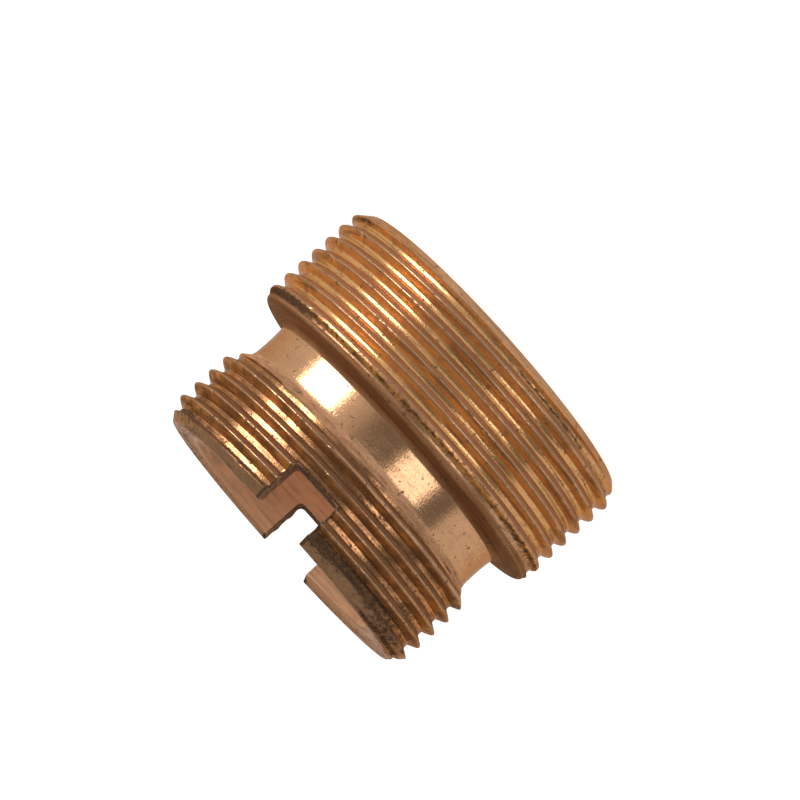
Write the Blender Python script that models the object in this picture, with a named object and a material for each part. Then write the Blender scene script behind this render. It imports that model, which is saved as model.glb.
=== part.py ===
"""Threaded reducing adapter for irrigation pipework, turned from one piece of bronze.

Frame: metres, +Z along the bore from the large thread to the small one. The origin is the
centre of the large end's flat face, on which the fitting stands. The driving slot in the
small end runs along Y.
"""
from math import asin, cos, pi, radians, sin, sqrt, tan

import bmesh
import bpy

MM = 0.001

# Axial layout, from the large end's face upwards
LARGE_END_LENGTH = 15.9 * MM        # large end's face to the collar's face at its rim
NECK_LENGTH = 5.9 * MM              # collar's rim to the foot of the small thread
SMALL_END_LENGTH = 12.4 * MM        # foot of the small thread to the small end's face

# Large male thread
LARGE_CREST_RADIUS = 23.5 * MM
LARGE_PITCH = 25.4 / 11.5 * MM
LARGE_THREAD_DEPTH = 1.05 * MM
LARGE_FLANK_ANGLE = radians(30.0)   # flank to the plane across the axis
LARGE_CREST_WIDTH = 0.25 * MM
LARGE_CREST_START = 1.23 * MM       # first crest above the large face, on the +X side
LARGE_RIM_DROP = 1.55 * MM          # free end's chamfer, measured across the axis
LARGE_CHAMFER_LENGTH = 1.5 * MM
RUNOUT_TURNS = 0.6                  # the groove grows shallower over this many turns
RUNOUT_GAP = 1.4 * MM               # from where it is shallowest to the collar's rim
RUNOUT_DEPTH = 0.65 * MM            # its depth from there on, out through the collar's corner

# Small male thread
SMALL_CREST_RADIUS = 20.955 * MM
SMALL_PITCH = 25.4 / 11.0 * MM
SMALL_THREAD_DEPTH = 1.3 * MM
SMALL_FLANK_ANGLE = radians(27.5)
SMALL_CREST_WIDTH = 0.25 * MM
SMALL_CREST_START = 0.34 * MM       # last crest below the small face, on the +X side
SMALL_RIM_DROP = 1.62 * MM
SMALL_CHAMFER_LENGTH = 1.85 * MM
FOOT_CHAMFER_LENGTH = 1.9 * MM      # the small thread's end that faces the neck

# Collar and neck between the threads
COLLAR_EASING_DROP = 0.5 * MM       # the crest cylinder tapers by this much at the collar
COLLAR_EASING_LENGTH = 0.7 * MM
COLLAR_CORNER = 0.5 * MM
COLLAR_FACE_RISE = 0.55 * MM        # the collar's face leans towards the neck
COVE_RADIUS = 0.9 * MM
NECK_RADIUS = 18.9 * MM             # where the neck meets the small thread's foot
NECK_WAIST = 0.1 * MM               # how far the neck dips between its ends

# Bore and driving slot
BORE_RADIUS = 14.7 * MM
BORE_CHAMFER = 0.6 * MM             # at the large end
LAND_WIDTH = 0.5 * MM               # flat ring left at the small end's rim
MOUTH_DEPTH = 0.6 * MM              # countersink inside the land
SLOT_WIDTH = 7.2 * MM
SLOT_OFFSET = -0.25 * MM            # its middle misses the axis by this much, along X
SLOT_DEPTH = 6.2 * MM
SLOT_FLOOR_RADIUS = 0.7 * MM

# Mesh and cutter allowances
SEGMENTS = 60                       # facets round the axis, and steps to one turn of thread
ARC_STEPS = 4
OVERRUN = 1.2 * MM                  # cutters reach this far past what they cut
CREST_OVERLAP = 0.06 * MM           # flanks of a groove cutter rise this far over the crests

LENGTH = LARGE_END_LENGTH + NECK_LENGTH + SMALL_END_LENGTH
SMALL_FOOT = LARGE_END_LENGTH + NECK_LENGTH
TURN = 2.0 * pi


def clear_scene():
    for item in list(bpy.data.objects):
        bpy.data.objects.remove(item, do_unlink=True)


def bronze_material():
    material = bpy.data.materials.new("bronze")
    material.use_nodes = True
    shader = material.node_tree.nodes["Principled BSDF"]
    shader.inputs["Base Color"].default_value = (0.62, 0.36, 0.20, 1.0)
    shader.inputs["Metallic"].default_value = 1.0
    shader.inputs["Roughness"].default_value = 0.32
    return material


def mesh_object(name, bm):
    bmesh.ops.recalc_face_normals(bm, faces=bm.faces)
    mesh = bpy.data.meshes.new(name)
    bm.to_mesh(mesh)
    bm.free()
    item = bpy.data.objects.new(name, mesh)
    bpy.context.scene.collection.objects.link(item)
    return item


def as_cutter(item):
    item.hide_render = True
    item.display_type = "WIRE"
    return item


def arc(centre_r, centre_z, radius, start, end):
    """Points of an arc in the (radius, height) plane, angles from the +radius direction."""
    step = (end - start) / ARC_STEPS
    return [(centre_r + radius * cos(start + step * k), centre_z + radius * sin(start + step * k))
            for k in range(ARC_STEPS + 1)]


def neck_outline():
    """The neck and its cove, from the small thread's foot down to the collar's corner."""
    rim_radius = LARGE_CREST_RADIUS - COLLAR_EASING_DROP
    face_lean = asin(COLLAR_FACE_RISE / (rim_radius - NECK_RADIUS))
    # the cove's circle touches the neck's cylinder and the leaning face of the collar
    cove_r = NECK_RADIUS + COVE_RADIUS
    face_top = LARGE_END_LENGTH + COLLAR_FACE_RISE
    face_at_cove = face_top - tan(face_lean) * COVE_RADIUS
    cove_z = face_at_cove + COVE_RADIUS / cos(face_lean)
    # shallow concave waist: a circle through both ends of the neck and its waist
    half_length = (SMALL_FOOT - cove_z) / 2.0
    waist_circle = (half_length ** 2 + NECK_WAIST ** 2) / (2.0 * NECK_WAIST)
    swing = asin(half_length / waist_circle)
    waist_r = NECK_RADIUS - NECK_WAIST + waist_circle
    neck = arc(waist_r, cove_z + half_length, waist_circle, pi - swing, pi + swing)
    cove = arc(cove_r, cove_z, COVE_RADIUS, pi, 1.5 * pi - face_lean)
    corner = arc(rim_radius - COLLAR_CORNER, LARGE_END_LENGTH - COLLAR_CORNER, COLLAR_CORNER,
                 pi / 2.0 - face_lean, 0.0)
    return neck + cove[1:] + corner


def blank_outline():
    """Closed half section of the turned blank: down its outer side, then up the bore."""
    small_rim = SMALL_CREST_RADIUS - SMALL_RIM_DROP
    large_rim = LARGE_CREST_RADIUS - LARGE_RIM_DROP
    easing_foot = LARGE_END_LENGTH - COLLAR_CORNER - COLLAR_EASING_LENGTH
    outer = [(small_rim - LAND_WIDTH, LENGTH),
             (small_rim, LENGTH),
             (SMALL_CREST_RADIUS, LENGTH - SMALL_CHAMFER_LENGTH),
             (SMALL_CREST_RADIUS, SMALL_FOOT + FOOT_CHAMFER_LENGTH)]
    outer += neck_outline()
    outer += [(LARGE_CREST_RADIUS, easing_foot),
              (LARGE_CREST_RADIUS, LARGE_CHAMFER_LENGTH),
              (large_rim, 0.0)]
    bore = [(BORE_RADIUS + BORE_CHAMFER, 0.0),
            (BORE_RADIUS, BORE_CHAMFER),
            (BORE_RADIUS, LENGTH - MOUTH_DEPTH)]
    return outer + bore


def turned_blank(name):
    bm = bmesh.new()
    section = [bm.verts.new((r, 0.0, z)) for r, z in blank_outline()]
    for start, end in zip(section, section[1:] + section[:1]):
        bm.edges.new((start, end))
    mesh = bpy.data.meshes.new(name)
    bm.to_mesh(mesh)
    bm.free()
    blank = bpy.data.objects.new(name, mesh)
    bpy.context.scene.collection.objects.link(blank)
    screw = blank.modifiers.new("turn", "SCREW")
    screw.axis = "Z"
    screw.angle = TURN
    screw.steps = SEGMENTS
    screw.render_steps = SEGMENTS
    screw.use_normal_calculate = False
    return blank


def groove_section(crest_radius, pitch, depth, flank_angle, crest_width, lift):
    """(radius, height) corners of a V groove's cutter, centred on height 0.

    lift raises the whole section out of the metal, for the run-out.
    """
    flank_run = depth * tan(flank_angle)
    top_half = (pitch - crest_width) / 2.0 + CREST_OVERLAP * tan(flank_angle)
    root_half = (pitch - crest_width) / 2.0 - flank_run
    root = crest_radius - depth + lift
    top = crest_radius + CREST_OVERLAP + lift
    outside = top + OVERRUN
    return [(root, -root_half), (root, root_half), (top, top_half),
            (outside, top_half), (outside, -top_half), (top, -top_half)]


def helical_groove(name, pitch, crest_at_x, low, high, section_at):
    """A right-hand groove's cutter, its root between the heights low and high.

    crest_at_x is the height of one crest on the +X side, and section_at(height) gives the
    groove's corners there. Its steps fall midway between the blank's facet edges, so that no
    edge of the one lies along an edge of the other.
    """
    root_at_x = crest_at_x + pitch / 2.0
    first = int((low - root_at_x) / pitch * SEGMENTS)
    last = int((high - root_at_x) / pitch * SEGMENTS)
    bm = bmesh.new()
    previous = None
    for step in range(first, last + 1):
        turns = (step + 0.5) / SEGMENTS
        angle = TURN * turns
        height = root_at_x + pitch * turns
        ring = [bm.verts.new((r * cos(angle), r * sin(angle), height + z))
                for r, z in section_at(height)]
        if previous is None:
            bm.faces.new(ring)
        else:
            for k in range(len(ring)):
                n = (k + 1) % len(ring)
                bm.faces.new((previous[k], previous[n], ring[n], ring[k]))
        previous = ring
    bm.faces.new(list(reversed(previous)))
    return as_cutter(mesh_object(name, bm))


def large_groove():
    fade = RUNOUT_TURNS * LARGE_PITCH
    fade_start = LARGE_END_LENGTH - RUNOUT_GAP - fade

    def section_at(height):
        share = min(max(0.0, (height - fade_start) / fade), 1.0)
        lift = share * (LARGE_THREAD_DEPTH - RUNOUT_DEPTH)
        return groove_section(LARGE_CREST_RADIUS, LARGE_PITCH, LARGE_THREAD_DEPTH,
                              LARGE_FLANK_ANGLE, LARGE_CREST_WIDTH, lift)

    return helical_groove("large_groove", LARGE_PITCH, LARGE_CREST_START,
                          -OVERRUN, LARGE_END_LENGTH + LARGE_PITCH / 2.0, section_at)


def small_groove():
    section = groove_section(SMALL_CREST_RADIUS, SMALL_PITCH, SMALL_THREAD_DEPTH,
                             SMALL_FLANK_ANGLE, SMALL_CREST_WIDTH, 0.0)
    return helical_groove("small_groove", SMALL_PITCH, LENGTH - SMALL_CREST_START,
                          SMALL_FOOT - OVERRUN, LENGTH + OVERRUN, lambda height: section)


def driving_slot():
    """Cutter for the slot across the small end, with rounded corners along its floor."""
    floor = LENGTH - SLOT_DEPTH
    top = LENGTH + OVERRUN
    reach = SMALL_CREST_RADIUS + OVERRUN
    bm = bmesh.new()
    bmesh.ops.create_cube(bm, size=1.0)
    for vert in bm.verts:
        vert.co.x = vert.co.x * SLOT_WIDTH + SLOT_OFFSET
        vert.co.y *= 2.0 * reach
        vert.co.z = floor if vert.co.z < 0.0 else top
    floor_edges = [edge for edge in bm.edges
                   if all(vert.co.z == edge.verts[0].co.z < top - OVERRUN for vert in edge.verts)
                   and edge.verts[0].co.x == edge.verts[1].co.x]
    bmesh.ops.bevel(bm, geom=floor_edges, offset=SLOT_FLOOR_RADIUS, offset_type="OFFSET",
                    segments=ARC_STEPS, profile=0.5, affect="EDGES")
    return as_cutter(mesh_object("driving_slot", bm))


def fitting_body():
    body = turned_blank("fitting_body")
    for cutter in (large_groove(), small_groove(), driving_slot()):
        cut = body.modifiers.new(cutter.name, "BOOLEAN")
        cut.operation = "DIFFERENCE"
        cut.object = cutter
    body.data.materials.append(bronze_material())
    return body


clear_scene()
fitting_body()
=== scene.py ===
"""Looks for the threaded reducing adapter: a worn, tarnished bronze turning in a pale studio.

Metres, in the CAD model's own frame: +Z along the bore from the large thread to the small one,
the driving slot along Y. The one visible piece repeats the CAD solid's sizes and adds what a
used turning has: rounded crests, nicks, a torn slot edge, turning marks, stain and grime.
"""
from math import asin, cos, pi, radians, sin, tan

import bmesh
import bpy
import numpy as np
from mathutils import Matrix, Vector, noise


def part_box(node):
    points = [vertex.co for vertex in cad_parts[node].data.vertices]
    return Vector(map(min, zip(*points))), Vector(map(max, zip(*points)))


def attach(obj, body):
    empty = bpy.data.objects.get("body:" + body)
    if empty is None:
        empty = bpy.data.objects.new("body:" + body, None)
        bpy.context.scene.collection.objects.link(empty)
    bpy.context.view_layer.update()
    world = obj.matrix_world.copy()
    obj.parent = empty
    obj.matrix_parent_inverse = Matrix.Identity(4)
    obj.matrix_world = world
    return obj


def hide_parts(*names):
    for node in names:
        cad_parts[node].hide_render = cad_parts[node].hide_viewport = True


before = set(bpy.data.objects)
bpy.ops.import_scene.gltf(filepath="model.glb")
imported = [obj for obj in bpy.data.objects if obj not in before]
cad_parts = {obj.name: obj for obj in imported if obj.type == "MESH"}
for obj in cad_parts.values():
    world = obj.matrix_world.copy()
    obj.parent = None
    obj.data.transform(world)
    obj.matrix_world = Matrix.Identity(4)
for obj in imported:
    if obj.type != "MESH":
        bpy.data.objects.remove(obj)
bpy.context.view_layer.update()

MM = 0.001
TURN = 2.0 * pi

# Sizes of the CAD solid
LARGE_END_LENGTH = 15.9 * MM
NECK_LENGTH = 5.9 * MM
LARGE_RIM_DROP = 1.55 * MM
LARGE_CHAMFER_LENGTH = 1.5 * MM
RUNOUT_TURNS = 0.6
RUNOUT_GAP = 1.4 * MM
RUNOUT_DEPTH = 0.65 * MM
SMALL_RIM_DROP = 1.62 * MM
SMALL_CHAMFER_LENGTH = 1.85 * MM
FOOT_CHAMFER_LENGTH = 1.9 * MM
COLLAR_EASING_DROP = 0.5 * MM
COLLAR_EASING_LENGTH = 0.7 * MM
COLLAR_CORNER = 0.5 * MM
COLLAR_FACE_RISE = 0.55 * MM
COVE_RADIUS = 0.9 * MM
NECK_RADIUS = 18.9 * MM
NECK_WAIST = 0.1 * MM
BORE_RADIUS = 14.7 * MM
BORE_CHAMFER = 0.6 * MM
LAND_WIDTH = 0.5 * MM
MOUTH_DEPTH = 0.6 * MM
SLOT_WIDTH = 7.2 * MM
SLOT_OFFSET = -0.25 * MM
SLOT_DEPTH = 6.2 * MM
SLOT_FLOOR_RADIUS = 0.7 * MM
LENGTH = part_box("fitting_body")[1][2]
SMALL_FOOT = LARGE_END_LENGTH + NECK_LENGTH
SLOT_FLOOR = LENGTH - SLOT_DEPTH
OUTER_SIDE = BORE_RADIUS + 2.0 * MM     # what lies outside this radius is the outer side

# The neck's last stretch curves out to the small thread
FLARE_LENGTH = 0.8 * MM
FLARE_RISE = 0.14 * MM

# Fineness of the visible mesh
COLUMNS = 560
ARC_STEPS = 8
# where one pitch of thread has its rows, as shares of the pitch from crest to crest
PITCH_ROWS = (0.0, 0.035, 0.075, 0.13, 0.21, 0.3, 0.37, 0.5, 0.63, 0.7, 0.79, 0.87, 0.925, 0.965)


class Thread:
    """One right-hand thread: its sizes, and the height of one crest on the +X side."""

    def __init__(self, radius, pitch, depth, flank_angle, crest_width, crest_at_x, runout=None):
        self.radius = radius
        self.pitch = pitch
        self.depth = depth
        self.half_top = (pitch - crest_width) / 2.0
        self.half_root = self.half_top - depth * tan(flank_angle)
        self.crest_at_x = crest_at_x
        self.runout = runout

    def pitches(self, turns, height):
        """How many pitches a place is above the crest through crest_at_x."""
        return (height - self.crest_at_x) / self.pitch - turns

    def from_root(self, turns, height):
        """How far a place is above the middle of its groove."""
        along = self.pitches(turns, height)
        return (along - np.floor(along) - 0.5) * self.pitch

    def flank(self, turns, height):
        """1 on the flank that faces the large end, -1 on the one that faces the small end."""
        from_root = self.from_root(turns, height)
        away = np.abs(from_root)
        on_flank = smooth_step(away, self.half_root - ROOT_MARGIN, self.half_root + FLANK_EASE)
        off_crest = 1.0 - smooth_step(away, self.half_top - FLANK_EASE, self.half_top)
        return np.sign(from_root) * on_flank * off_crest

    def drop(self, turns, height):
        """How far the groove goes below the crests, with eased corners."""
        from_root = self.from_root(turns, height)
        share = (self.half_top - np.abs(from_root)) / (self.half_top - self.half_root)
        depth = self.depth * soft_limits(share, CORNER_EASE)
        if self.runout:
            start, end, left = self.runout
            share = np.clip((height - from_root - start) / (end - start), 0.0, 1.0)
            depth = depth - (self.depth - left) * share
        return np.maximum(depth, 0.0)


CORNER_EASE = 0.16      # rounding where flanks meet crests and roots, as a share of the depth
ROOT_MARGIN = 0.02 * MM     # a flank's marking starts this far out on the root,
FLANK_EASE = 0.1 * MM       # and takes this much of the flank to rise or fall
CREST_WIDTH = 0.25 * MM
INCH = 25.4 * MM
RUNOUT_END = LARGE_END_LENGTH - RUNOUT_GAP
LARGE_PITCH = INCH / 11.5
LARGE = Thread(23.5 * MM, LARGE_PITCH, 1.05 * MM, radians(30.0), CREST_WIDTH, 1.23 * MM,
               (RUNOUT_END - RUNOUT_TURNS * LARGE_PITCH, RUNOUT_END, RUNOUT_DEPTH))
SMALL = Thread(20.955 * MM, INCH / 11.0, 1.3 * MM, radians(27.5), CREST_WIDTH,
               LENGTH - 0.34 * MM)
LARGE_RIM = LARGE.radius - LARGE_RIM_DROP
SMALL_RIM = SMALL.radius - SMALL_RIM_DROP
LARGE_TOP = LARGE_END_LENGTH - COLLAR_CORNER    # the large thread's rows end here


def soft_limits(value, ease):
    """value kept between 0 and 1, turning smoothly over the width ease at either limit."""
    low = np.maximum(ease - np.abs(value), 0.0) ** 2 / (4.0 * ease)
    high = np.maximum(ease - np.abs(value - 1.0), 0.0) ** 2 / (4.0 * ease)
    return np.clip(value, 0.0, 1.0) + low - high


def smooth_step(value, start, end):
    """0 up to start, 1 from end on, and a smooth rise between them."""
    share = np.clip((value - start) / (end - start), 0.0, 1.0)
    return share * share * (3.0 - 2.0 * share)


def hump(distance, half_width):
    """1 at no distance, easing to 0 over about twice the half width on either side."""
    return np.exp(-(distance / half_width) ** 2)


def round_the_axis(points):
    """Each point's radius, its place round the axis in turns, and its height."""
    x, y, z = points.T
    return np.hypot(x, y), np.arctan2(y, x) / TURN % 1.0, z


def noise_at(points, scale, seed):
    """Perlin noise, about -1 to 1, at points of the object; scale is cycles per metre."""
    shift = Vector((seed * 17.31, seed * 5.77, seed * 9.13))
    return np.array([noise.noise(Vector(p) * scale + shift) for p in points])


# ---------------------------------------------------------------- the turned body's surface

def arc(centre_r, centre_z, radius, start, end):
    """(radius, height) of points round a centre, from the angle start to the angle end."""
    step = (end - start) / ARC_STEPS
    return [(centre_r + radius * cos(start + step * k), centre_z + radius * sin(start + step * k))
            for k in range(ARC_STEPS + 1)]


def straight(start, end, steps):
    """Even steps on the line from one (radius, height) to another, without the first."""
    return [tuple(a + (b - a) * k / steps for a, b in zip(start, end))
            for k in range(1, steps + 1)]


def neck_outline():
    """(radius, height) from the collar's corner up to the small thread's foot."""
    rim = LARGE.radius - COLLAR_EASING_DROP
    face_lean = asin(COLLAR_FACE_RISE / (rim - NECK_RADIUS))
    face_top = LARGE_END_LENGTH + COLLAR_FACE_RISE
    cove_z = face_top - tan(face_lean) * COVE_RADIUS + COVE_RADIUS / cos(face_lean)
    half_length = (SMALL_FOOT - cove_z) / 2.0
    waist_circle = (half_length ** 2 + NECK_WAIST ** 2) / (2.0 * NECK_WAIST)
    swing = asin(half_length / waist_circle)
    corner = arc(rim - COLLAR_CORNER, LARGE_END_LENGTH - COLLAR_CORNER, COLLAR_CORNER,
                 0.0, pi / 2.0 - face_lean)
    cove = arc(NECK_RADIUS + COVE_RADIUS, cove_z, COVE_RADIUS, 1.5 * pi - face_lean, pi)
    neck = arc(NECK_RADIUS - NECK_WAIST + waist_circle, cove_z + half_length, waist_circle,
               pi + swing, pi - swing)
    flare = [(r, z) for r, z in neck if z < SMALL_FOOT - FLARE_LENGTH]
    low_r, low_z = flare[-1]
    neck = flare + [(low_r + FLARE_RISE * share ** 2, low_z + (SMALL_FOOT - low_z) * share)
                    for share in np.linspace(0.0, 1.0, 9)[1:]]
    return corner + straight(corner[-1], cove[0], 5)[:-1] + cove + neck[1:]


def inner_outline():
    """(radius, height) from inside the small end's rim, down the bore, to the large rim."""
    land = (SMALL_RIM - LAND_WIDTH, LENGTH)
    mouth = (BORE_RADIUS, LENGTH - MOUTH_DEPTH)
    foot = (BORE_RADIUS, BORE_CHAMFER)
    face = (BORE_RADIUS + BORE_CHAMFER, 0.0)
    return (straight((SMALL_RIM, LENGTH), land, 2) + straight(land, mouth, 4)
            + straight(mouth, foot, 14) + straight(foot, face, 2)
            + straight(face, (LARGE_RIM, 0.0), 6)[:-1])


def blank_radius_large(height):
    """The large end's outline before its thread is cut."""
    easing_foot = LARGE_TOP - COLLAR_EASING_LENGTH
    return np.interp(height, (0.0, LARGE_CHAMFER_LENGTH, easing_foot, LARGE_TOP),
                     (LARGE_RIM, LARGE.radius, LARGE.radius, LARGE.radius - COLLAR_EASING_DROP))


def blank_radius_small(height):
    """The small end's outline before its thread is cut."""
    return np.interp(height, (SMALL_FOOT, SMALL_FOOT + FOOT_CHAMFER_LENGTH,
                              LENGTH - SMALL_CHAMFER_LENGTH, LENGTH),
                     (NECK_RADIUS, SMALL.radius, SMALL.radius, SMALL_RIM))


class Surface:
    """Collects the points and faces of the body, column by column round the axis."""

    def __init__(self):
        self.points = []
        self.faces = []
        self.turns = np.arange(COLUMNS) / COLUMNS

    def add(self, turns, radius, height):
        """Adds a row of points and gives their numbers."""
        first = len(self.points)
        angle = TURN * np.asarray(turns)
        self.points += list(zip(radius * np.cos(angle), radius * np.sin(angle),
                                np.broadcast_to(height, angle.shape)))
        return np.arange(first, len(self.points))

    def ring(self, radius, height):
        return self.add(self.turns, np.full(COLUMNS, radius), height)

    def quads(self, low, high, low_next, high_next):
        """Faces between two rows and the same rows a column further on."""
        for corners in zip(low, low_next, high_next, high):
            kept = [c for k, c in enumerate(corners) if c != corners[k - 1]]
            if len(kept) > 2:
                self.faces.append(kept)

    def join(self, low, high):
        """Faces between two rings, low to high along the outline."""
        self.quads(low, high, np.roll(low, -1), np.roll(high, -1))

    def thread_band(self, thread, low_ring, high_ring, low, high, blank_radius):
        """Rows that climb with the helix, between two rings at the heights low and high."""
        rows_per_pitch = len(PITCH_ROWS)
        first = int(np.floor((low - thread.crest_at_x) / thread.pitch)) - 2
        count = int(np.ceil((high - low) / thread.pitch)) + 4
        rows = []
        for row in range(count * rows_per_pitch):
            pitches = first + row // rows_per_pitch + PITCH_ROWS[row % rows_per_pitch]
            height = thread.crest_at_x + thread.pitch * (pitches + self.turns)
            inside = (height > low) & (height < high)
            index = np.where(height <= low, low_ring, high_ring)
            turns, height = self.turns[inside], height[inside]
            radius = np.minimum(blank_radius(height), thread.radius - thread.drop(turns, height))
            index[inside] = self.add(turns, radius, height)
            rows.append(index)
        rows = [low_ring] + rows
        for row in range(len(rows) - 1):
            # the last column joins the first one a whole pitch, and so as many rows, higher
            this_end = rows[min(row + rows_per_pitch, len(rows) - 1)] if row else low_ring
            next_end = rows[min(row + 1 + rows_per_pitch, len(rows) - 1)]
            low_next = np.append(rows[row][1:], this_end[0])
            high_next = np.append(rows[row + 1][1:], next_end[0])
            self.quads(rows[row], rows[row + 1], low_next, high_next)


def turned_surface():
    """The whole turning, threads and bore included, before wear and without the slot."""
    surface = Surface()
    large_rim = surface.ring(LARGE_RIM, 0.0)
    neck = [surface.ring(radius, height) for radius, height in neck_outline()]
    small_rim = surface.ring(SMALL_RIM, LENGTH)
    surface.thread_band(LARGE, large_rim, neck[0], 0.0, LARGE_TOP, blank_radius_large)
    surface.thread_band(SMALL, neck[-1], small_rim, SMALL_FOOT, LENGTH, blank_radius_small)
    inner = [surface.ring(radius, height) for radius, height in inner_outline()]
    for rings in (neck, [small_rim] + inner + [large_rim]):
        for low, high in zip(rings, rings[1:]):
            surface.join(low, high)
    return surface


# ---------------------------------------------------------------- wear in the metal itself

NICKS = 150
NICK_SEED = 11
NICKS_ON_SMALL = 0.4                    # their share on the small thread
NICK_LENGTH = (0.15 * MM, 0.5 * MM)
NICK_WIDTH = (0.2 * MM, 0.45 * MM)
NICK_DEPTH = (0.06 * MM, 0.3 * MM)
NICK_REACH = 3.0                        # how far a nick is followed, in its half sizes


def nick_dents(points):
    """How deep small knocks go into the crests, for each point."""
    rng = np.random.default_rng(NICK_SEED)
    _, turns, z = round_the_axis(points)
    depth = np.zeros(len(points))
    for _ in range(NICKS):
        thread, low, high = ((LARGE, 0.0, LARGE_TOP), (SMALL, SMALL_FOOT, LENGTH))[
            int(rng.random() < NICKS_ON_SMALL)]
        turn = rng.random()
        crests = np.floor((rng.uniform(low, high) - thread.crest_at_x) / thread.pitch - turn)
        height = thread.crest_at_x + thread.pitch * (crests + turn)
        length = rng.uniform(*NICK_LENGTH) / (TURN * thread.radius)
        width = rng.uniform(*NICK_WIDTH)
        deep = rng.uniform(*NICK_DEPTH)
        off = (turns - turn + 0.5) % 1.0 - 0.5
        near = ((np.abs(off) < NICK_REACH * length) & (np.abs(z - height) < NICK_REACH * width)
                & (z > low))
        dent = hump(off[near], length) * hump(z[near] - height, width)
        depth[near] = np.maximum(depth[near], deep * dent)
    return depth


CREST_ZONE = 0.45 * MM      # wear reaches this far below the crests
EVEN_WEAR = 0.035 * MM
UNEVEN_WEAR = 0.05 * MM
MOST_WEAR = 0.4 * MM
END_MARGIN = 0.05 * MM      # the flat ends themselves aren't worn
WEAR_NOISE = ((900.0, 1), (2600.0, 2), (140.0, 3))      # cycles per metre, seed


def wear_down(points):
    """Takes uneven wear and nicks off the threads' outer side; never adds metal."""
    radius, _, z = round_the_axis(points)
    threaded = (radius > OUTER_SIDE) & (((z > END_MARGIN) & (z < LARGE_TOP)) |
                                        ((z > SMALL_FOOT) & (z < LENGTH - END_MARGIN)))
    chosen = np.flatnonzero(threaded)
    some = points[chosen]
    drop = np.where(z[chosen] < SMALL_FOOT, LARGE.radius, SMALL.radius) - radius[chosen]
    crest = 1.0 - smooth_step(drop, 0.0, CREST_ZONE)
    rough = sum(noise_at(some, scale, seed) for scale, seed in WEAR_NOISE) / 2.0
    loss = (EVEN_WEAR + UNEVEN_WEAR * np.maximum(rough, 0.0)) * crest + nick_dents(some)
    worn = points.copy()
    worn[chosen, :2] *= (1.0 - np.minimum(loss, MOST_WEAR) / radius[chosen])[:, None]
    return worn


def mesh_from(name, points, faces):
    """A new mesh object in the scene."""
    mesh = bpy.data.meshes.new(name)
    mesh.from_pydata([tuple(p) for p in points], [], faces)
    mesh.validate()
    item = bpy.data.objects.new(name, mesh)
    bpy.context.scene.collection.objects.link(item)
    return item


CUTTER_OVERHANG = 1.5 * MM      # the slot's cutter stands this far out of the body
WALL_STEPS = 16
FLOOR_CORNER_STEPS = 5
FLOOR_STEPS = 11
CUTTER_STATIONS = 150
CUT_TOLERANCE = 0.01 * MM
CUT_WAVER = ((2300.0, 5, 0.022 * MM), (300.0, 6, 0.01 * MM))   # cycles per metre, seed, amount


def slot_section():
    """(x, z) of the slot's outline: down one wall, along the floor, up the other wall."""
    inner = SLOT_WIDTH / 2.0 - SLOT_FLOOR_RADIUS
    wall_foot = SLOT_FLOOR + SLOT_FLOOR_RADIUS
    half = [(inner * k / FLOOR_STEPS, SLOT_FLOOR) for k in range(1, FLOOR_STEPS + 1, 2)]
    half += [(inner + SLOT_FLOOR_RADIUS * sin(angle), wall_foot - SLOT_FLOOR_RADIUS * cos(angle))
             for angle in np.linspace(0.0, pi / 2.0, FLOOR_CORNER_STEPS + 1)[1:]]
    half += straight((SLOT_WIDTH / 2.0, wall_foot),
                     (SLOT_WIDTH / 2.0, LENGTH + CUTTER_OVERHANG), WALL_STEPS)
    return [(SLOT_OFFSET - x, z) for x, z in reversed(half)] + [
        (SLOT_OFFSET + x, z) for x, z in half]


def slot_cutter():
    """The slot's cutter. Its walls waver a little, which tears the edges it leaves."""
    section = slot_section()
    reach = SMALL.radius + CUTTER_OVERHANG
    stations = np.linspace(-reach, reach, CUTTER_STATIONS)
    points = np.array([(x, y, z) for y in stations for x, z in section])
    waver = sum(noise_at(points, scale, seed) * amount for scale, seed, amount in CUT_WAVER)
    across = points[:, 0] - SLOT_OFFSET
    on_walls = np.abs(across) > SLOT_WIDTH / 2.0 - CUT_TOLERANCE
    on_floor = points[:, 2] < SLOT_FLOOR + CUT_TOLERANCE
    points[:, 0] += np.where(on_walls, np.sign(across) * waver, 0.0)
    points[:, 2] += np.where(on_floor, waver, 0.0)
    count = len(section)
    last = (CUTTER_STATIONS - 1) * count
    faces = [tuple(reversed(range(count)))]
    for base in range(0, last, count):
        for k in range(count):
            n = (k + 1) % count
            faces.append((base + k, base + n, base + count + n, base + count + k))
    faces.append(tuple(range(last, last + count)))
    cutter = mesh_from("slot_cutter", points, faces)
    bm = bmesh.new()
    bm.from_mesh(cutter.data)
    bmesh.ops.recalc_face_normals(bm, faces=bm.faces)
    bm.to_mesh(cutter.data)
    bm.free()
    return cutter


def cut_slot(body):
    """Cuts the slot and keeps the result as the body's own mesh."""
    cutter = slot_cutter()
    cut = body.modifiers.new("slot", "BOOLEAN")
    cut.operation = "DIFFERENCE"
    cut.solver = "EXACT"
    cut.object = cutter
    depsgraph = bpy.context.evaluated_depsgraph_get()
    mesh = bpy.data.meshes.new_from_object(body.evaluated_get(depsgraph))
    body.modifiers.clear()
    body.data = mesh
    bpy.data.objects.remove(cutter, do_unlink=True)


BURR_WIDTH = 0.35 * MM
BURR_HEIGHT = 0.35 * MM
BURR_FULL_WIDTH = 0.08 * MM     # a burr keeps its full height this far from the slot
BURR_OVER_CREST = 0.1 * MM
BURR_ZONE = 2.4 * MM            # burrs stand on what lies less than this below the crests
BURR_LUMPS = 1700.0             # cycles per metre
BURR_SEED = 8
CORNER_MARGIN = 0.1 * MM


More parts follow.
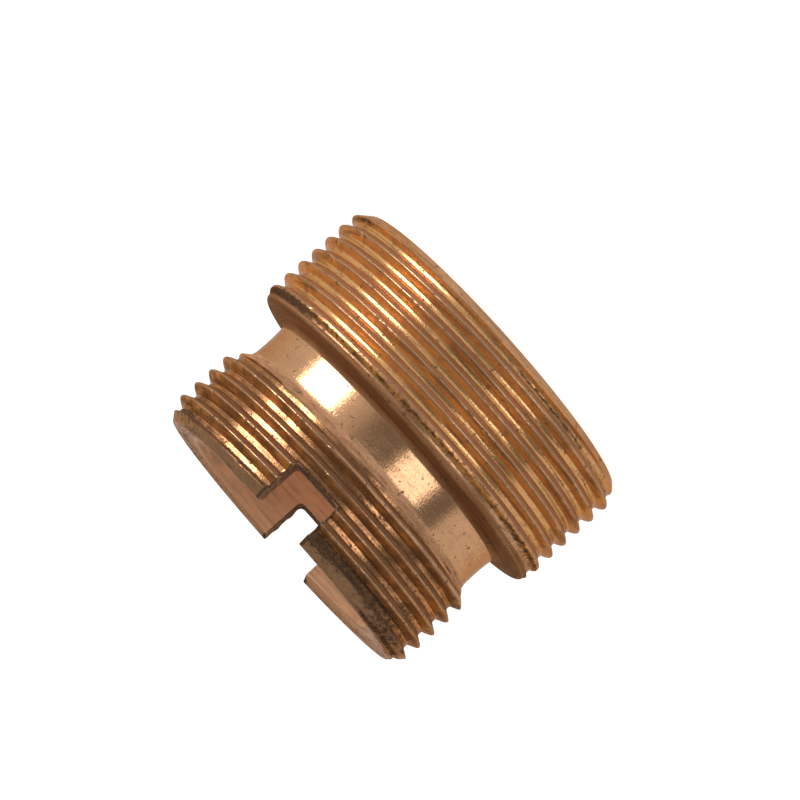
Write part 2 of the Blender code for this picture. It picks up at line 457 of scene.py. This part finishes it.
def raise_burrs(points):
    """Pushes the metal beside the slot outwards, unevenly, where the cut left a burr."""
    radius, _, z = round_the_axis(points)
    past_wall = np.abs(points[:, 0] - SLOT_OFFSET) - SLOT_WIDTH / 2.0
    beside_wall = np.where(z > SLOT_FLOOR - CORNER_MARGIN, np.abs(past_wall), np.inf)
    beside_floor = np.where(past_wall < CORNER_MARGIN, np.abs(z - SLOT_FLOOR), np.inf)
    beside = np.minimum(beside_wall, beside_floor)
    chosen = np.flatnonzero((beside < BURR_WIDTH) & (radius > SMALL.radius - BURR_ZONE))
    lump = np.maximum(noise_at(points[chosen], BURR_LUMPS, BURR_SEED) + 0.1, 0.0)
    push = lump * BURR_HEIGHT * (1.0 - smooth_step(beside[chosen], BURR_FULL_WIDTH, BURR_WIDTH))
    room = SMALL.radius - radius[chosen] + BURR_OVER_CREST
    points[chosen, :2] *= (1.0 + np.minimum(push, room) / radius[chosen])[:, None]


# ---------------------------------------------------------------- where stain and grime lie

# how much grime a place holds; a place with 1 or more is nearly covered
LARGE_CHAMFER_GRIME = 0.75
LAST_GROOVE_GRIME = 1.05
SMALL_THREAD_GRIME = 0.28
SMALL_GROOVE_GRIME = 0.3
SMALL_CHAMFER_GRIME = 0.45
SLOT_EDGE_GRIME = 1.1
SLOT_EDGE_WIDTH = 0.35 * MM
CHAMFER_LINE_HEIGHT = LARGE_CHAMFER_LENGTH + 0.1 * MM
CHAMFER_LINE_WIDTH = 0.3 * MM
LAST_FLANK_HEIGHT = 14.4 * MM   # the last groove's flank beside the collar, on the camera's side
LAST_FLANK_WIDTH = 0.55 * MM
# where dirt has built up: degrees from the camera, height in mm, half sizes (turns, mm), amount
GRIME_SPOTS = (
    (-17.0, 32.3, 0.024, 0.8, 1.3), (-40.0, 31.8, 0.05, 0.9, 0.8), (-62.0, 30.0, 0.04, 2.6, 0.5),
    (-20.0, 24.5, 0.10, 1.2, 0.3), (60.0, 15.0, 0.06, 0.7, 0.7), (70.0, 1.4, 0.05, 1.0, 0.6),
    (-35.0, 1.6, 0.08, 0.5, 0.5), (-70.0, 15.2, 0.06, 0.7, 0.7), (66.0, 31.5, 0.03, 2.0, 0.4))


def turns_from_camera(degrees):
    """A direction round the axis, in turns; positive is towards +X from the camera's side."""
    return (degrees - 90.0) / 360.0


def grime_at(points, large, small, drop):
    """How much grime each point holds."""
    _, turns, z = round_the_axis(points)
    # the last groove is followed round from the camera's side, where turns is 0.75
    last_flank = LAST_FLANK_HEIGHT + LARGE.pitch * ((turns + 0.75) % 1.0 - 0.5)
    on_large = (LARGE_CHAMFER_GRIME * hump(z - CHAMFER_LINE_HEIGHT, CHAMFER_LINE_WIDTH)
                + LAST_GROOVE_GRIME * hump(z - last_flank, LAST_FLANK_WIDTH))
    from_slot = np.maximum(np.abs(points[:, 0] - SLOT_OFFSET) - SLOT_WIDTH / 2.0, SLOT_FLOOR - z)
    on_small = (SMALL_THREAD_GRIME + SMALL_GROOVE_GRIME * drop
                + SMALL_CHAMFER_GRIME * (z > LENGTH - SMALL_CHAMFER_LENGTH)
                + SLOT_EDGE_GRIME * hump(np.maximum(from_slot, 0.0), SLOT_EDGE_WIDTH))
    grime = on_large * large + on_small * small
    for degrees, height, half_turn, half_height, amount in GRIME_SPOTS:
        off = (turns - turns_from_camera(degrees) + 0.5) % 1.0 - 0.5
        grime += amount * hump(off, half_turn) * hump(z - height * MM, half_height * MM)
    return grime


def store(mesh, name, domain, values):
    """Keeps one value for each point or face, under a name that the material reads."""
    layer = mesh.attributes.new(name, "FLOAT", domain)
    layer.data.foreach_set("value", np.asarray(values, dtype=np.float32))


# how far each kind of place is taken past, or short of, its true edge
BLANK_MARGIN = 0.02 * MM
SLOT_FACE_MARGIN = 0.07 * MM
BORE_MARGIN = 0.1 * MM
NECK_MARGIN = 0.04 * MM
RIM_MARGIN = 0.2 * MM
FOOT_MARGIN = 0.2 * MM
COLLAR_FROM = LARGE_TOP - 0.4 * MM
COLLAR_TO = LARGE_END_LENGTH + 1.6 * MM
FOOT_SHALLOW = 0.3          # the foot's stain stops where a groove is deeper than this
ACROSS_THE_SLOT = 0.6       # the slot's own faces lean less than this towards Y


def mark_surface(mesh, points):
    """Stores what the material needs to know of each point and face."""
    radius, turns, z = round_the_axis(points)
    large = (z < LARGE_TOP) & (radius > OUTER_SIDE)
    small = (z > SMALL_FOOT) & (radius > OUTER_SIDE)
    drop = np.zeros(len(points))
    flank = np.zeros(len(points))
    for thread, part, blank_radius in ((LARGE, large, blank_radius_large),
                                       (SMALL, small, blank_radius_small)):
        below = thread.drop(turns, z)
        groove = part & (thread.radius - below < blank_radius(z) + BLANK_MARGIN)
        drop[groove] = below[groove] / thread.depth
        flank[groove] = thread.flank(turns, z)[groove]
    collar = (z > COLLAR_FROM) & (z < COLLAR_TO) & (radius > NECK_RADIUS + NECK_MARGIN)
    large_rim = large & (z < LARGE_CHAMFER_LENGTH - RIM_MARGIN)
    small_rim = small & (drop == 0.0) & (z > LENGTH - SMALL_CHAMFER_LENGTH)
    half_foot = FOOT_CHAMFER_LENGTH / 2.0
    foot = ((np.abs(z - SMALL_FOOT - half_foot) < half_foot + FOOT_MARGIN)
            & (radius > NECK_RADIUS - NECK_WAIST) & (drop < FOOT_SHALLOW))
    for name, values in (("thread_depth", drop), ("flank", flank), ("collar", collar),
                         ("grime", grime_at(points, large, small, drop)),
                         ("bore", radius < BORE_RADIUS + BORE_MARGIN), ("threaded", large | small),
                         ("small_end", small), ("rim", large_rim | small_rim), ("foot", foot)):
        store(mesh, name, "POINT", values)
    store(mesh, "slot_cut", "FACE", [
        abs(face.center.x - SLOT_OFFSET) < SLOT_WIDTH / 2.0 + SLOT_FACE_MARGIN
        and face.center.z > SLOT_FLOOR - SLOT_FACE_MARGIN and abs(face.normal.y) < ACROSS_THE_SLOT
        for face in mesh.polygons])


SHARP_ANGLE = radians(42.0)


def fitting_piece():
    """The visible adapter, worn, slotted and marked, without its material."""
    surface = turned_surface()
    points = wear_down(np.array(surface.points))
    body = mesh_from("threaded_adapter", points, surface.faces)
    cut_slot(body)
    points = np.array([tuple(vertex.co) for vertex in body.data.vertices])
    raise_burrs(points)
    body.data.vertices.foreach_set("co", points.ravel())
    mark_surface(body.data, points)
    body.data.shade_smooth()
    body.data.set_sharp_from_angle(angle=SHARP_ANGLE)
    return body


# ---------------------------------------------------------------- material

class Tree:
    """Adds nodes to a shader tree; inputs are plain values or other nodes' output sockets."""

    def __init__(self, owner):
        owner.use_nodes = True
        self.tree = owner.node_tree
        self.tree.nodes.clear()

    def add(self, kind, inputs=(), output=0, **settings):
        made = self.tree.nodes.new(kind)
        for name, value in settings.items():
            setattr(made, name, value)
        for name, value in dict(inputs).items():
            if isinstance(value, bpy.types.NodeSocket):
                self.tree.links.new(value, made.inputs[name])
            else:
                made.inputs[name].default_value = value
        return made.outputs[output]

    def add_output(self, kind, surface):
        self.tree.links.new(surface, self.tree.nodes.new(kind).inputs[0])

    def math(self, operation, first, *others):
        """One operation over all the values, from left to right."""
        total = first
        for value in others:
            total = self.add("ShaderNodeMath", {0: total, 1: value}, operation=operation)
        return total

    def plus(self, *values):
        return self.math("ADD", *values)

    def minus(self, value, less):
        return self.math("SUBTRACT", value, less)

    def times(self, *values):
        return self.math("MULTIPLY", *values)

    def most(self, *values):
        return self.math("MAXIMUM", *values)

    def size_of(self, value):
        return self.add("ShaderNodeMath", {0: value}, operation="ABSOLUTE")

    def vector(self, operation, first, second=(0.0, 0.0, 0.0), output=0):
        return self.add("ShaderNodeVectorMath", {0: first, 1: second}, output, operation=operation)

    def split(self, vector):
        """The X, Y and Z of a vector."""
        made = self.tree.nodes.new("ShaderNodeSeparateXYZ")
        self.tree.links.new(vector, made.inputs[0])
        return made.outputs

    def step(self, value, start, end, low=0.0, high=1.0):
        """low up to start, high from end on, and a smooth change between them."""
        return self.add("ShaderNodeMapRange", {0: value, 1: start, 2: end, 3: low, 4: high},
                        interpolation_type="SMOOTHSTEP")

    def by(self, share, off, on):
        """The value off where a mark is 0, and on where it is 1."""
        return self.step(share, 0.0, 1.0, off, on)

    def mix(self, share, off, on):
        """The colour off where the share is 0, and on where it is 1."""
        return self.add("ShaderNodeMix", {0: share, 6: off, 7: on}, output=2, data_type="RGBA")

    def mix_value(self, share, off, on):
        return self.add("ShaderNodeMix", {0: share, 2: off, 3: on}, data_type="FLOAT")

    def noise(self, where, scale, detail=3.0, roughness=0.55):
        return self.add("ShaderNodeTexNoise", {"Vector": where, "Scale": scale,
                                               "Detail": detail, "Roughness": roughness})

    def mark(self, name):
        """One of the values that mark_surface stored."""
        return self.add("ShaderNodeAttribute", output=2, attribute_name=name)


PALE_METAL = (0.85, 0.475, 0.255, 1.0)
DEEP_METAL = (0.74, 0.41, 0.22, 1.0)
LARGE_ROOT = (0.95, 0.50, 0.185, 1.0)
SMALL_ROOT = (0.92, 0.43, 0.19, 1.0)
# orange for the flanks that face the small end: partly stain, partly painted reflection
PALE_ORANGE_STAIN_AND_REFLECTION = (0.97, 0.40, 0.085, 1.0)
DEEP_ORANGE_STAIN_AND_REFLECTION = (0.78, 0.34, 0.10, 1.0)
# brown of tarnished streaks and patches, and painted reflection on the flanks that face the large
# end
TARNISH_AND_FLANK_REFLECTION = (0.37, 0.20, 0.105, 1.0)
SCORE_LINE = (0.20, 0.10, 0.05, 1.0)
SOIL = (0.22, 0.105, 0.045, 1.0)
# painted shade: dark brown for the collar face and cove
COLLAR_PAINTED_SHADE = (0.27, 0.12, 0.05, 1.0)
PALE_BORE = (0.92, 0.575, 0.35, 1.0)
DEEP_BORE = (0.64, 0.39, 0.235, 1.0)
PALE_FOOT = (0.55, 0.30, 0.16, 1.0)
DEEP_FOOT = (0.38, 0.20, 0.11, 1.0)
DEEP_SLOT = (0.17, 0.09, 0.05, 1.0)
PALE_SLOT = (0.46, 0.27, 0.16, 1.0)
BLACK_GRIME = (0.030, 0.020, 0.014, 1.0)
BROWN_GRIME = (0.115, 0.062, 0.034, 1.0)
METAL_EDGE_TINT = (0.75, 0.52, 0.38, 1.0)

POLISHED_ROUGHNESS = 0.105
RELIEF_STRENGTH = 0.45
RELIEF_HEIGHT = 0.07 * MM


class Bronze(Tree):
    """Bronze with turning marks, brown stain in the grooves, black grime and bright wear, with
    painted reflections on the thread flanks and painted shade on the collar.
    """

    def __init__(self, material):
        super().__init__(material)
        place = self.add("ShaderNodeTexCoord", output=3)
        x, y, z = self.split(place)
        flat = self.add("ShaderNodeCombineXYZ", {0: x, 1: y})
        self.round_axis = self.vector("NORMALIZE", flat)
        self.along = self.plus(z, self.vector("LENGTH", flat, output=1))
        self.marks = self.lines(1.0, 2700.0, 1.5, 3.0, 0.6)
        self.broad_marks = self.lines(1.0, 900.0, 2.4, 3.0, 0.6)
        self.blotch = self.lines(8.0, 1300.0, 1.0, 5.0, 0.7)
        self.cloud = self.noise(place, 160.0, 4.0, 0.6)
        self.mottle = self.noise(place, 1500.0, 4.0, 0.65)
        self.speck = self.noise(place, 3800.0, 2.0, 0.5)
        self.pit = self.noise(place, 1300.0, 1.0, 0.4)

        self.collar = self.mark("collar")
        self.bore = self.mark("bore")
        self.slot_cut = self.mark("slot_cut")
        self.threaded = self.mark("threaded")
        self.small_end = self.mark("small_end")
        self.rim = self.mark("rim")
        self.foot = self.mark("foot")
        self.depth = self.mark("thread_depth")
        flank = self.mark("flank")
        self.on_flank = self.size_of(flank)
        self.faces_small = self.step(flank, 0.0, -0.8)
        self.faces_large = self.step(flank, 0.0, 0.8)
        self.root = self.times(self.step(self.depth, 0.8, 0.95),
                               self.step(self.on_flank, 0.0, 0.5, 1.0, 0.0))
        self.patchy = self.times(self.step(self.blotch, 0.48, 0.66),
                                 self.by(self.threaded, 0.3, 0.8),
                                 self.by(self.faces_small, 1.0, 0.45))
        self.tarnish_and_flank_reflection = self.tarnish_and_flank_reflection_share()
        self.soil = self.soil_share()
        self.grimy = self.grime_share()

    def lines(self, round_scale, along_scale, scale, detail, roughness):
        """Noise drawn out round the axis: long that way, and fine across it."""
        across = self.add("ShaderNodeCombineXYZ", {2: self.times(self.along, along_scale)})
        stretched = self.vector("MULTIPLY", self.round_axis, (round_scale,) * 3)
        return self.noise(self.vector("ADD", stretched, across), scale, detail, roughness)

    def tarnish_and_flank_reflection_share(self):
        """Brown streaks and patches of tarnished metal, and painted reflection: dull brown on the
        flanks that face the large end.
        """
        streaks = self.times(self.step(self.marks, 0.42, 0.60), self.step(
            self.mottle, 0.3, 0.7, 0.4, 1.0))
        dulled = self.by(self.threaded, 0.28, 0.9)
        dulled_here = self.mix_value(self.most(self.faces_small, self.root), dulled,
                                     self.times(dulled, 0.16))
        # painted reflection: dull brown on every flank that faces the large end
        painted_flank_reflection = self.times(self.faces_large, self.step(self.broad_marks, 0.3, 0.7, 1.0, 0.6))
        return self.times(self.most(self.times(streaks, dulled_here), self.patchy, painted_flank_reflection),
                          self.by(self.rim, 1.0, 0.5))

    def soil_share(self):
        """Brown soil in the small thread's grooves, in patches."""
        in_groove = self.times(self.small_end, self.step(self.depth, 0.0, 0.15, 0.3, 1.0))
        patches = self.plus(self.times(self.blotch, 0.6), self.times(self.broad_marks, 0.4))
        return self.times(in_groove, self.step(patches, 0.36, 0.56, 0.1, 0.72))

    def grime_share(self):
        """Black grime where the marks say, with specks and pits all over."""
        patches = self.plus(self.times(self.mottle, 0.75), self.times(self.broad_marks, 0.45))
        need = self.minus(0.98, self.times(self.mark("grime"), 0.40))
        patch = self.step(self.minus(patches, need), -0.12, 0.14)
        specks = self.times(self.step(self.speck, 0.60, 0.69), self.by(self.threaded, 0.4, 0.75),
                            self.by(self.bore, 1.0, 0.2))
        pits = self.times(self.step(self.pit, 0.69, 0.74), self.by(self.bore, 0.75, 0.15))
        return self.times(self.most(patch, specks, pits), self.by(self.slot_cut, 0.92, 0.2))

    def colour(self):
        """The metal's colour, with each stain, painted reflection and painted shade laid over the
        ones before it.
        """
        seen = self.mix(self.step(self.cloud, 0.35, 0.7), PALE_METAL, DEEP_METAL)
        bore_patches = self.plus(self.times(self.broad_marks, 0.6), self.times(self.cloud, 0.4))
        blotches = self.step(self.blotch, 0.4, 0.6)
        for share, stain in (
                (self.times(self.root, self.by(self.rim, 0.85, 0.0)),
                 self.mix(self.small_end, LARGE_ROOT, SMALL_ROOT)),
                # partly stain, partly painted reflection: orange on every flank that faces the
                # small end
                (self.times(self.faces_small, 0.9),
                 self.mix(blotches, PALE_ORANGE_STAIN_AND_REFLECTION, DEEP_ORANGE_STAIN_AND_REFLECTION)),
                # tarnished streaks and patches, and painted reflection on the flanks that face the
                # large end
                (self.tarnish_and_flank_reflection, TARNISH_AND_FLANK_REFLECTION),
                (self.times(self.step(self.marks, 0.48, 0.38), self.by(self.threaded, 0.15, 0.55)),
                 SCORE_LINE),
                (self.soil, SOIL),
                # painted shade: dark brown over nearly all of the collar face and cove
                (self.times(self.collar, self.step(self.broad_marks, 0.35, 0.65, 0.75, 1.0)),
                 COLLAR_PAINTED_SHADE),
                (self.bore, self.mix(self.step(bore_patches, 0.38, 0.62), PALE_BORE, DEEP_BORE)),
                (self.foot, self.mix(blotches, PALE_FOOT, DEEP_FOOT)),
                (self.slot_cut, self.mix(self.step(self.mottle, 0.4, 0.6), DEEP_SLOT, PALE_SLOT)),
                (self.grimy, self.mix(self.step(self.speck, 0.35, 0.65), BLACK_GRIME,
                                      BROWN_GRIME))):
            seen = self.mix(share, seen, stain)
        return seen

    def roughness(self):
        """Polished metal, made rougher by each kind of stain and on the dull flanks that face the
        large end.
        """
        stained = self.times(self.most(self.tarnish_and_flank_reflection, self.soil), self.by(self.root, 0.24, 0.10))
        unpolished = self.times(self.most(self.bore, self.slot_cut, self.collar), 0.25)
        return self.plus(POLISHED_ROUGHNESS, self.times(self.mottle, 0.08), stained,
                         self.times(self.threaded, 0.03), self.times(self.grimy, 0.35),
                         unpolished)

    def metallic(self):
        """Less than 1 where stain or an unpolished skin hides the bare metal."""
        dull = self.most(self.times(self.on_flank, 0.5), self.times(self.bore, 0.85),
                         self.times(self.collar, 0.6), self.times(self.patchy, 0.35),
                         self.slot_cut, self.times(self.foot, 0.9))
        return self.times(self.by(self.grimy, 1.0, 0.0), self.minus(1.0, dull))

    def relief(self):
        """Fine relief only; the visible shape is in the mesh."""
        height = self.plus(self.times(self.marks, self.by(self.threaded, 0.15, 1.1)),
                           self.times(self.mottle, self.by(self.threaded, 0.28, 0.5)),
                           self.times(self.speck, -0.4))
        return self.add("ShaderNodeBump", {"Strength": RELIEF_STRENGTH, "Distance": RELIEF_HEIGHT,
                                           "Height": height})


def worn_bronze():
    material = bpy.data.materials.new("worn_bronze")
    bronze = Bronze(material)
    surface = bronze.add("ShaderNodeBsdfPrincipled", {
        "Base Color": bronze.colour(), "Metallic": bronze.metallic(),
        "Roughness": bronze.roughness(), "Normal": bronze.relief(),
        "Specular IOR Level": 0.0, "Specular Tint": METAL_EDGE_TINT})
    bronze.add_output("ShaderNodeOutputMaterial", surface)
    return material


# ---------------------------------------------------------------- studio

# The camera stands on the -Y side. Its aim is a point beside the axis.
CAMERA_AZIMUTH = radians(-6.33)
CAMERA_ELEVATION = radians(6.14)
CAMERA_ROLL = radians(131.78)       # the fitting's axis leans this far anticlockwise from upright
CAMERA_DISTANCE = 0.62
CAMERA_LENS = 230.45
SENSOR_WIDTH = 36.0
AIM_BESIDE_AXIS = 2.93 * MM
AIM_HEIGHT = 12.035 * MM

LIGHT_DISTANCE = 0.40
# the strength of the white studio that the metal mirrors, by where it lies
PALE_SIDE = 0.67
DARK_SIDE = 0.19
OVERHEAD = 0.28
UNDERNEATH = 0.65
BACKDROP = 1.05                     # what the camera itself sees
STUDIO_WHITE = (1.0, 0.985, 0.965, 1.0)
FLOOR_HALF = 12.0
FLOOR_GREY = (0.9, 0.9, 0.9, 1.0)
FLOOR_GLOW = 0.8


def camera():
    """Looks at the fitting from the side of the neck, with the small end down on the left."""
    sideways = Vector((cos(CAMERA_AZIMUTH), sin(CAMERA_AZIMUTH), 0.0))
    level = Vector((sin(CAMERA_AZIMUTH), -cos(CAMERA_AZIMUTH), 0.0))
    back = level * cos(CAMERA_ELEVATION) + Vector((0.0, 0.0, sin(CAMERA_ELEVATION)))
    up = back.cross(sideways)
    x_axis = sideways * cos(CAMERA_ROLL) - up * sin(CAMERA_ROLL)
    y_axis = sideways * sin(CAMERA_ROLL) + up * cos(CAMERA_ROLL)
    aim = sideways * AIM_BESIDE_AXIS + Vector((0.0, 0.0, AIM_HEIGHT))
    data = bpy.data.cameras.new("camera")
    data.sensor_width = SENSOR_WIDTH
    data.lens = CAMERA_LENS
    data.clip_start = 0.01
    item = bpy.data.objects.new("camera", data)
    item.matrix_world = Matrix.Translation(aim + back * CAMERA_DISTANCE) @ Matrix(
        (x_axis, y_axis, back)).transposed().to_4x4()
    bpy.context.scene.collection.objects.link(item)
    bpy.context.scene.camera = item


def softbox(name, degrees, elevation, width, height, power):
    """An area light aimed at the object; degrees round from the camera towards +X."""
    turn = radians(degrees) + CAMERA_AZIMUTH
    rise = radians(elevation)
    away = Vector((sin(turn) * cos(rise), -cos(turn) * cos(rise), sin(rise)))
    data = bpy.data.lights.new(name, "AREA")
    data.shape = "RECTANGLE"
    data.size = width
    data.size_y = height
    data.energy = power
    item = bpy.data.objects.new(name, data)
    item.location = Vector((0.0, 0.0, LENGTH / 2.0)) + away * LIGHT_DISTANCE
    item.rotation_euler = away.to_track_quat("Z", "Y").to_euler()
    item.visible_camera = False
    bpy.context.scene.collection.objects.link(item)


def surroundings():
    """A white studio, with a darker side towards the camera that the metal mirrors."""
    world = bpy.data.worlds.new("studio")
    bpy.context.scene.world = world
    t = Tree(world)
    direction = t.add("ShaderNodeTexCoord")
    turned = t.split(t.add("ShaderNodeVectorRotate", {
        "Vector": direction, "Axis": (0.0, 0.0, 1.0), "Angle": -CAMERA_AZIMUTH}))
    # degrees round from the camera towards +X
    degrees = t.times(t.math("ARCTAN2", turned[0], t.times(turned[1], -1.0)), 180.0 / pi)
    dark_side = t.times(t.step(degrees, -76.0, -70.0), t.step(degrees, 4.0, 43.0, 1.0, 0.0))
    around = t.by(dark_side, PALE_SIDE, DARK_SIDE)
    up = t.split(direction)[2]
    under_sky = t.mix_value(t.step(up, 0.2, 0.7), around, OVERHEAD)
    studio = t.mix_value(t.step(up, -0.48, -0.27, 1.0, 0.0), under_sky, UNDERNEATH)
    seen_by_camera = t.add("ShaderNodeLightPath")
    strength = t.mix_value(seen_by_camera, studio, BACKDROP)
    t.add_output("ShaderNodeOutputWorld",
                 t.add("ShaderNodeBackground", {0: STUDIO_WHITE, 1: strength}))


def floor():
    """A white floor that the metal doesn't mirror."""
    edge = FLOOR_HALF
    plane = mesh_from("floor", [(-edge, -edge, 0.0), (edge, -edge, 0.0), (edge, edge, 0.0),
                                (-edge, edge, 0.0)], [(0, 1, 2, 3)])
    material = bpy.data.materials.new("white_floor")
    t = Tree(material)
    t.add_output("ShaderNodeOutputMaterial", t.add("ShaderNodeBsdfPrincipled", {
        "Base Color": FLOOR_GREY, "Roughness": 0.9, "Specular IOR Level": 0.0,
        "Emission Color": (1.0, 1.0, 1.0, 1.0), "Emission Strength": FLOOR_GLOW}))
    plane.data.materials.append(material)
    plane.visible_glossy = False


camera()
surroundings()
softbox("key_softbox", 65.0, -1.0, 0.25, 0.16, 0.95)
softbox("fill_softbox", -31.0, -1.0, 0.23, 0.16, 0.21)
softbox("table_glare", -12.0, -15.0, 0.42, 0.035, 0.03)
floor()

fitting = fitting_piece()
fitting.data.materials.clear()
fitting.data.materials.append(worn_bronze())
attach(fitting, "root")
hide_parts("fitting_body")

bpy.context.scene.view_settings.view_transform = "Standard"
